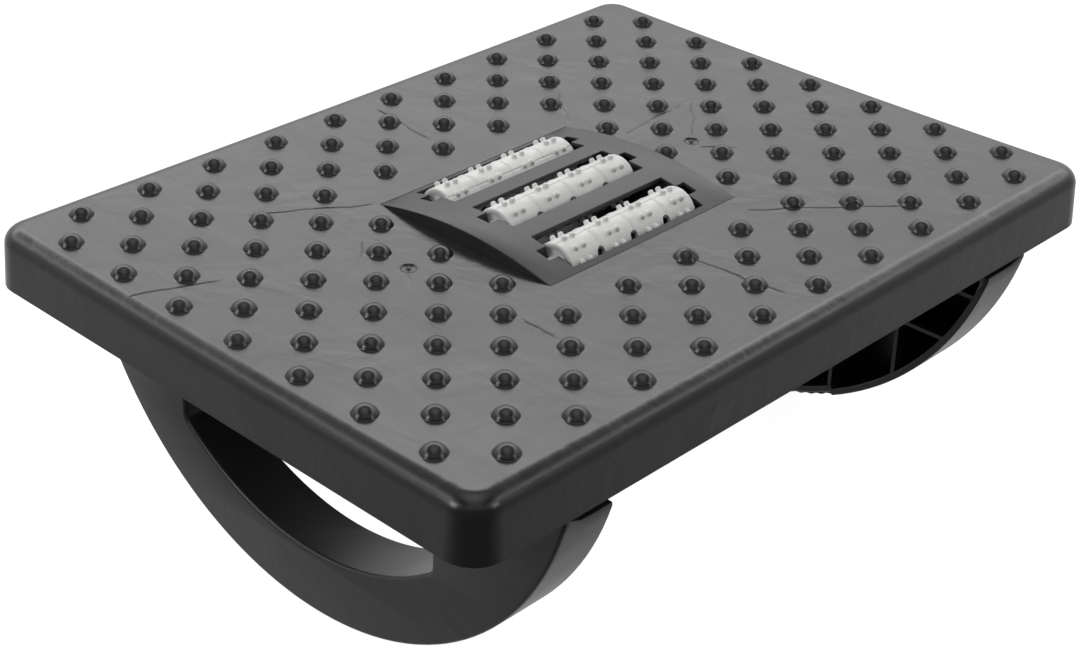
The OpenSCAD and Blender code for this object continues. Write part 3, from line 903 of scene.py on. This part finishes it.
def slot_point(x, arc):
    """Moves a point near the rim of a long slot onto it, and says whether it lies on or in the slot."""
    place, inside = (x, arc), False
    for edge in SEGMENT_EDGES:
        gap, out = slot_distance(x, arc, edge - HOLE_SHIFT)
        if abs(gap) < RIM_REACH:
            place = (x - gap * out[0], arc - gap * out[1])
            gap = 0.0
        inside = inside or gap <= 1e-6
    return place, inside


def roller_lines():
    """Places along the roller where its mesh has a row of points."""
    near_edge = (0.2, 0.45, 0.65, 0.85, 1.05, 1.3, 1.5, 1.7, 1.9, 2.1, 2.4)
    values = set(round(v, 3) for v in steps(-44.5, 44.5, 170))
    for edge in SEGMENT_EDGES:
        values = {v for v in values if abs(v - edge - 1.35) > 1.2}
        values |= {round(edge + d, 3) for d in near_edge}
    return sorted(values)


def segment_step(x):
    """Height of the raised line and the fine groove beside it at the segments' edges."""
    height = 0.0
    for edge in SEGMENT_EDGES:
        away = x - edge
        height += 0.30 * smoothstep(1.5 - abs(away - 0.85) / 0.4)
        height -= 0.15 * smoothstep(1.4 - abs(away - 1.8) / 0.25)
    return height


def roller_profile():
    """Places along a roller, each with its radius and whether it is on the roller's round body."""
    ends = [(x, r, False) for x, r in ROLLER_END]
    body = [(x, ROLLER_R + segment_step(x), True) for x in roller_lines()]
    return [(-x, r, False) for x, r, _ in reversed(ends)] + body + ends


def roller_half(name, node, row, body, side, slotted):
    """One half shell of a roller: segment lines, ends, journals and, in the slotted half, long slots.

    The angle round the axis runs from the top towards the front, or to the back where side is -1.
    """
    axis = AXES[body]
    seam = math.radians(SEAM_ANGLE[row])
    arcs = steps(0, math.pi * ROLLER_R, ROLLER_STEPS)
    shape = Shape()
    numbers = []
    in_slots = set()
    for x, r, on_body in roller_profile():
        points = []
        for k, arc in enumerate(arcs):
            place, inside = (x, arc), False
            if on_body and slotted:
                place, inside = slot_point(x, arc)
            if inside:
                in_slots.add(len(shape.points) + k)
            to_seam = min(arc, arcs[-1] - arc)
            reach = r - (SEAM_DIP * smoothstep(1 - to_seam / 0.5) if on_body else 0.0)
            turn = seam + side * place[1] / ROLLER_R
            points.append((place[0], axis.y - reach * math.sin(turn), axis.z + reach * math.cos(turn)))
        numbers.append(shape.add(points))
    for a, b in zip(numbers, numbers[1:]):
        for k in range(ROLLER_STEPS):
            face = (a[k], a[k + 1], b[k + 1], b[k])
            if not in_slots.issuperset(face):
                shape.faces.append(face if side > 0 else face[::-1])
    piece = shape.make(name, body, WHITE, [node], smooth=55, weld=0.0005, recalc=False)
    shell = piece.modifiers.new("wall", "SOLIDIFY")
    shell.thickness = SHELL_T * MM
    shell.offset = -1.0
    shell.use_even_offset = True
    return piece


def nub(shape, x, turn, axis):
    """One peg with a soft foot and a rounded head."""
    out = Vector((0, -math.sin(turn), math.cos(turn)))
    across = Vector((0, math.cos(turn), math.sin(turn)))
    foot = Vector((x, axis.y, axis.z)) + out * ROLLER_R
    ring = [2 * math.pi * k / NUB_SIDES for k in range(NUB_SIDES)]
    rows = [[foot + out * h + Vector((r * math.cos(a), 0, 0)) + across * (r * math.sin(a)) for a in ring]
            for r, h in NUB_PROFILE]
    numbers = shape.loft(rows)
    top = shape.add([foot + out * NUB_H])[0]
    shape.fan(top, numbers[-1])


def nubs(row, body):
    """The ten rows of paired pegs round a roller."""
    shape = Shape()
    for k in range(NUB_ROWS):
        turn = math.radians(SEAM_ANGLE[row] + k * 360 / NUB_ROWS)
        for x in NUB_X:
            nub(shape, x, turn, AXES[body])
    shape.make(f"{row}_nubs", body, WHITE, smooth=60, recalc=False)


def rollers():
    """Three rollers, each of two half shells and the nubs that stand on them."""
    for row in ("rear", "middle", "front"):
        body = f"{row}_roller"
        nubs(row, body)
        roller_half(f"{row}_half_plain", f"{row}_shell_plain", row, body, -1, False)
        roller_half(f"{row}_half_slotted", f"{row}_shell_slotted", row, body, 1, True)


# ---------------------------------------------------------------- rockers

def arc_points(cy, cz, r, a0, a1, n):
    """Points of an arc in the YZ plane, angles from +Y towards +Z."""
    return [(cy + r * math.cos(a), cz + r * math.sin(a)) for a in steps(a0, a1, n)]


def rocker_outline(inset, shoulder, recess=0.0):
    """The rocker's side outline, moved inwards by inset: the tread, the shoulders and the neck."""
    half = []
    low = TREAD_R - inset
    top = shoulder - inset
    start = -math.pi / 2
    y_end = math.sqrt(low ** 2 - (ROCK_Z - top) ** 2)
    end = math.atan2(top - ROCK_Z, y_end)
    step_angle = -math.acos(RECESS_Y / low)
    for a in steps(start, step_angle, 24):
        r = low - recess
        half.append((r * math.cos(a), ROCK_Z + r * math.sin(a)))
    for a in steps(step_angle + 0.0008, end - 0.012, 20):
        half.append((low * math.cos(a), ROCK_Z + low * math.sin(a)))
    half += [(y_end - 0.6, top - 0.15), (y_end - 2.0, top)]
    neck = NECK_Y - inset
    neck_top = ROCKER_TOP - inset * PLATE_T / TREAD_T
    half += [(neck, top), (neck, top + 0.5 * (neck_top - top)), (neck, neck_top)]
    half += [(y, neck_top) for y in (120, 80, 40)]
    return half + [(0.0, half[-1][1])] + [(-y, z) for y, z in reversed(half[1:])]


def tunnel_outline(grow):
    """The opening's outline, moved outwards by grow: a curved floor, upright ends, rounded corners."""
    r, reach = TUNNEL_R + grow, TUNNEL_FILLET + grow
    cy = TUNNEL_Y - TUNNEL_FILLET
    cz = TUNNEL_CZ - math.sqrt((TUNNEL_R - TUNNEL_FILLET) ** 2 - cy ** 2)
    tangent = math.atan2(cz - TUNNEL_CZ, cy)
    upper = TUNNEL_TOP - TUNNEL_FILLET
    half = arc_points(0, TUNNEL_CZ, r, -math.pi / 2, tangent, 30)
    half += arc_points(cy, cz, reach, tangent, 0, 6)[1:]
    half += [(TUNNEL_Y + grow, cz + (upper - cz) * s) for s in (0.33, 0.66)]
    half += arc_points(cy, upper, reach, 0, math.pi / 2, 6)
    half += [(y, TUNNEL_TOP + grow) for y in (50, 25, 0.0)]
    return half + [(-y, z) for y, z in reversed(half[1:-1])]


def shoulder_at(x):
    """Height of the rocker's shoulders, which fall away from the outer face."""
    highest = LIP_Z - 0.4
    share = smoothstep((ROCKER_OUT - x) / 14.0)
    return highest - (highest - SHOULDER_Z) * share


def tread_rows():
    """Rows of points from the rocker's outer face over the tread to the inner rim and back inside."""
    rows = []

    def row(x, inset, shoulder, recess=0.0):
        rows.append([(x, y, z) for y, z in rocker_outline(inset, shoulder, recess)])

    for a in steps(0, math.pi / 2, 5):
        row(ROCKER_OUT - TREAD_EDGE * (1 - math.cos(a)), TREAD_EDGE * (1 - math.sin(a)),
            shoulder_at(ROCKER_OUT))
    step_x = ROCKER_IN + RECESS_W
    for x in (ROCKER_OUT - 4, ROCKER_OUT - 5.5, step_x):
        row(x, 0, shoulder_at(x))
    rim_x = ROCKER_IN + RIM_EDGE
    for x in (step_x, step_x - 4, step_x - 10, step_x - 16, rim_x):
        row(x, 0, shoulder_at(x), RECESS_D)
    row(ROCKER_IN, RIM_EDGE, SHOULDER_Z, RECESS_D)
    row(ROCKER_IN, TREAD_T - RIM_EDGE, SHOULDER_Z, RECESS_D)
    row(rim_x, TREAD_T, SHOULDER_Z, RECESS_D)
    row(ROCKER_OUT - SIDE_T, TREAD_T, SHOULDER_Z, RECESS_D)
    return rows


def tunnel_rows():
    """Rows of points from the outer face through the opening and back along the outside of its wall."""
    places = [(ROCKER_OUT - TUNNEL_EDGE * (1 - math.cos(a)), TUNNEL_EDGE * (1 - math.sin(a)))
              for a in steps(0, math.pi / 2, 6)]
    rim_x = ROCKER_IN + RIM_EDGE
    places += [(ROCKER_IN + 12, 0), (rim_x, 0), (ROCKER_IN, RIM_EDGE), (ROCKER_IN, TUNNEL_T - RIM_EDGE),
               (rim_x, TUNNEL_T), (ROCKER_OUT - SIDE_T, TUNNEL_T)]
    return [[(x, y, z) for y, z in tunnel_outline(grow)] for x, grow in places]


def rocker_body(name, node, mirror):
    """A rocker: a side plate with an opening, a wide tread, an opening wall and an open inner side."""
    shape = Shape()
    tread = shape.loft(tread_rows())
    tunnel = [shape.add(row) for row in tunnel_rows()]
    for a, b in zip(tunnel, tunnel[1:]):
        shape.bridge(b, a)
    shape.fill(tread[0], tunnel[0])
    shape.fill(tread[-1], tunnel[-1])
    rocker_ribs(shape)
    return shape.make(name, "base", ROCKER_BLACK, [node], mirror=mirror, smooth=40)


def rocker_ribs(shape):
    """Ribs between the tread, the opening's wall and the mounting plate."""
    half = RIB_HALF
    x0, x1 = ROCKER_IN + 1.2, ROCKER_OUT - 1.4
    shelf = 131.5

    def tread_at(y):
        return ROCK_Z - math.sqrt((TREAD_R - 3.0) ** 2 - y * y)

    def floor_at(y):
        return TUNNEL_CZ - math.sqrt((TUNNEL_R + 1.5) ** 2 - y * y)

    for y in (-76, -38, 0, 38, 76):
        shape.block((x0, y - half, tread_at(y)), (x1, y + half, floor_at(y)))
    for s in (-1, 1):
        y = s * 114.5
        shape.block((x0, y - half, tread_at(y)), (x1, y + half, ROCKER_TOP - 1.5))
        for z in (82, 112):
            far = math.sqrt((TREAD_R - 2.4) ** 2 - (ROCK_Z - z) ** 2)
            a, b = sorted((s * (TUNNEL_Y + 1.5), s * far))
            shape.block((x0, a, z - half), (x1, b, z + half))
    shape.block((x0, -TUNNEL_Y, shelf), (x1, TUNNEL_Y, shelf + 2 * half))


def tread_pad(name, node, mirror):
    """A rubber strip let into the tread, with shallow cross grooves for grip."""
    shape = Shape()
    r_out, r_in = ROCK_Z, TREAD_R - RECESS_D
    reach = PAD_HIGH.y
    end = math.asin(reach / r_out)
    count = 88
    rows = []
    for k, a in enumerate(steps(-end, end, count)):
        groove = 0.0 if k in (0, count) or k % 4 in (0, 1) else 0.5
        r = r_out - groove
        profile = [(PAD_LOW.x, r_in), (PAD_LOW.x, r - 0.5), (PAD_LOW.x + 0.5, r), (PAD_HIGH.x - 0.5, r),
                   (PAD_HIGH.x, r - 0.5), (PAD_HIGH.x, r_in)]
        rows.append([(x, rr * math.sin(a), ROCK_Z - rr * math.cos(a)) for x, rr in profile])
    numbers = shape.loft(rows)
    shape.faces.append(tuple(numbers[0]))
    shape.faces.append(tuple(reversed(numbers[-1])))
    return shape.make(name, "base", RUBBER, [node], mirror=mirror, smooth=30)


# ---------------------------------------------------------------- build

def rockers():
    """The two rockers with their grip strips, the left ones mirrored."""
    for side, mirror in (("left", True), ("right", False)):
        rocker_body(f"{side}_rocker_moulding", f"{side}_rocker", mirror)
        tread_pad(f"{side}_grip_strip", f"{side}_tread_pad", mirror)


platform_shell()
platform_ribs()
housing_cover()
rollers()
rockers()

# the materials of the nodes that stay as they are
CAD_FINISH = {
    "roller_tray": INSERT,
    "left_bearing_rail": INSERT,
    "right_bearing_rail": INSERT,
    "housing_screws": STEEL,
    "rail_screws": STEEL,
    "rocker_screws": STEEL,
    "rear_rod": STEEL,
    "middle_rod": STEEL,
    "front_rod": STEEL,
}
for node_name, finish_material in CAD_FINISH.items():
    node = frame["nodes"][node_name]
    node.data.materials.clear()
    node.data.materials.append(finish_material)


# ---------------------------------------------------------------- stage

FLOOR_HALF = 9.0
LIGHT_TARGET = Vector((0, 0, 0.15))
# sine of a direction's angle above the horizon, and the studio's brightness there
STUDIO_STOPS = (
    (0.0, 0.22), (0.40, 0.30), (0.48, 0.55), (0.53, 1.15), (0.74, 0.10), (0.79, 0.03), (0.86, 0.15),
    (0.93, 0.30), (1.0, 0.6),
)
# the way to the back wall, and how the light grows from the front of the studio to that wall
BACK_WALL = (0.66, 0.75, 0)
WALL_STRENGTH = {"From Min": -0.6, "From Max": 0.7, "To Min": 0.50, "To Max": 3.8}
CAMERA_PLACE = (-0.71813, -0.64604, 0.64128)
CAMERA_HEADING = math.radians(44.792)
CAMERA_PITCH = math.radians(-25.945)
CAMERA_ROLL = math.radians(0.778)
CAMERA_LENS = 71.64
CAMERA_SHIFT = (0.083, -0.139)


def floor():
    """A wide pale floor."""
    mesh = bpy.data.meshes.new("floor")
    r = FLOOR_HALF
    mesh.from_pydata([(-r, -r, 0), (r, -r, 0), (r, r, 0), (-r, r, 0)], [], [(0, 1, 2, 3)])
    n = Nodes("floor_white", (0.3, 0.3, 0.3), 0.9, specular=0.1)
    material = n.finish(n.noise(3), n.times(n.noise(8), 0.05), n.noise(40), 0.0001)
    n.shader.inputs["Emission Color"].default_value = (1, 1, 1, 1)
    n.shader.inputs["Emission Strength"].default_value = 0.95
    mesh.materials.append(material)
    piece = bpy.data.objects.new("floor", mesh)
    piece.visible_glossy = False
    piece.visible_diffuse = False
    bpy.context.scene.collection.objects.link(piece)


def softbox(name, place, size, power):
    """A square light that faces the object."""
    light = bpy.data.lights.new(name, "AREA")
    light.shape = "RECTANGLE"
    light.size = light.size_y = size
    light.energy = power
    lamp = bpy.data.objects.new(name, light)
    lamp.location = place
    lamp.rotation_euler = (LIGHT_TARGET - Vector(place)).to_track_quat("-Z", "Y").to_euler()
    bpy.context.scene.collection.objects.link(lamp)


def world():
    """A soft studio: dim low down, a bright band about 30 degrees up that is strongest at the back, a dark
    band above it and a soft ceiling."""
    studio = bpy.data.worlds.new("studio")
    bpy.context.scene.world = studio
    studio.use_nodes = True
    tree = studio.node_tree
    place = tree.nodes.new("ShaderNodeTexCoord").outputs["Generated"]
    split = tree.nodes.new("ShaderNodeSeparateXYZ")
    tree.links.new(place, split.inputs["Vector"])
    ramp = tree.nodes.new("ShaderNodeValToRGB")
    ramp.color_ramp.interpolation = "EASE"
    elements = ramp.color_ramp.elements
    elements[0].position, elements[1].position = STUDIO_STOPS[0][0], STUDIO_STOPS[-1][0]
    for position, _ in STUDIO_STOPS[1:-1]:
        elements.new(position)
    for element, (_, level) in zip(elements, STUDIO_STOPS):
        element.color = (level, level, level, 1)
    tree.links.new(split.outputs["Z"], ramp.inputs["Fac"])
    back = tree.nodes.new("ShaderNodeVectorMath")
    back.operation = "DOT_PRODUCT"
    back.inputs[1].default_value = BACK_WALL
    tree.links.new(place, back.inputs[0])
    depth = tree.nodes.new("ShaderNodeMapRange")
    for key, number in WALL_STRENGTH.items():
        depth.inputs[key].default_value = number
    tree.links.new(back.outputs["Value"], depth.inputs["Value"])
    shader = tree.nodes["Background"]
    tree.links.new(ramp.outputs["Color"], shader.inputs["Color"])
    tree.links.new(depth.outputs["Result"], shader.inputs["Strength"])


def camera():
    """The camera, at the height and angle from which the part is usually shown."""
    data = bpy.data.cameras.new("camera")
    data.sensor_width = 36.0
    data.lens = CAMERA_LENS
    data.shift_x, data.shift_y = CAMERA_SHIFT
    data.clip_start, data.clip_end = 0.05, 50
    cam = bpy.data.objects.new("camera", data)
    level = math.cos(CAMERA_PITCH)
    forward = Vector((math.sin(CAMERA_HEADING) * level, math.cos(CAMERA_HEADING) * level,
                      math.sin(CAMERA_PITCH)))
    aim = forward.to_track_quat("-Z", "Y").to_matrix()
    turn = aim @ Matrix.Rotation(CAMERA_ROLL, 3, "Z")
    cam.matrix_world = Matrix.Translation(CAMERA_PLACE) @ turn.to_4x4()
    bpy.context.scene.collection.objects.link(cam)
    bpy.context.scene.camera = cam


floor()
world()
softbox("left_softbox", (-1.57, 0.49, 0.85), 0.5, 5)
softbox("front_softbox", (0.55, -1.75, 0.90), 0.5, 2.5)
softbox("fill_softbox", (-0.75, -0.85, 1.90), 1.5, 3.5)
camera()
bpy.context.scene.view_settings.view_transform = "Standard"
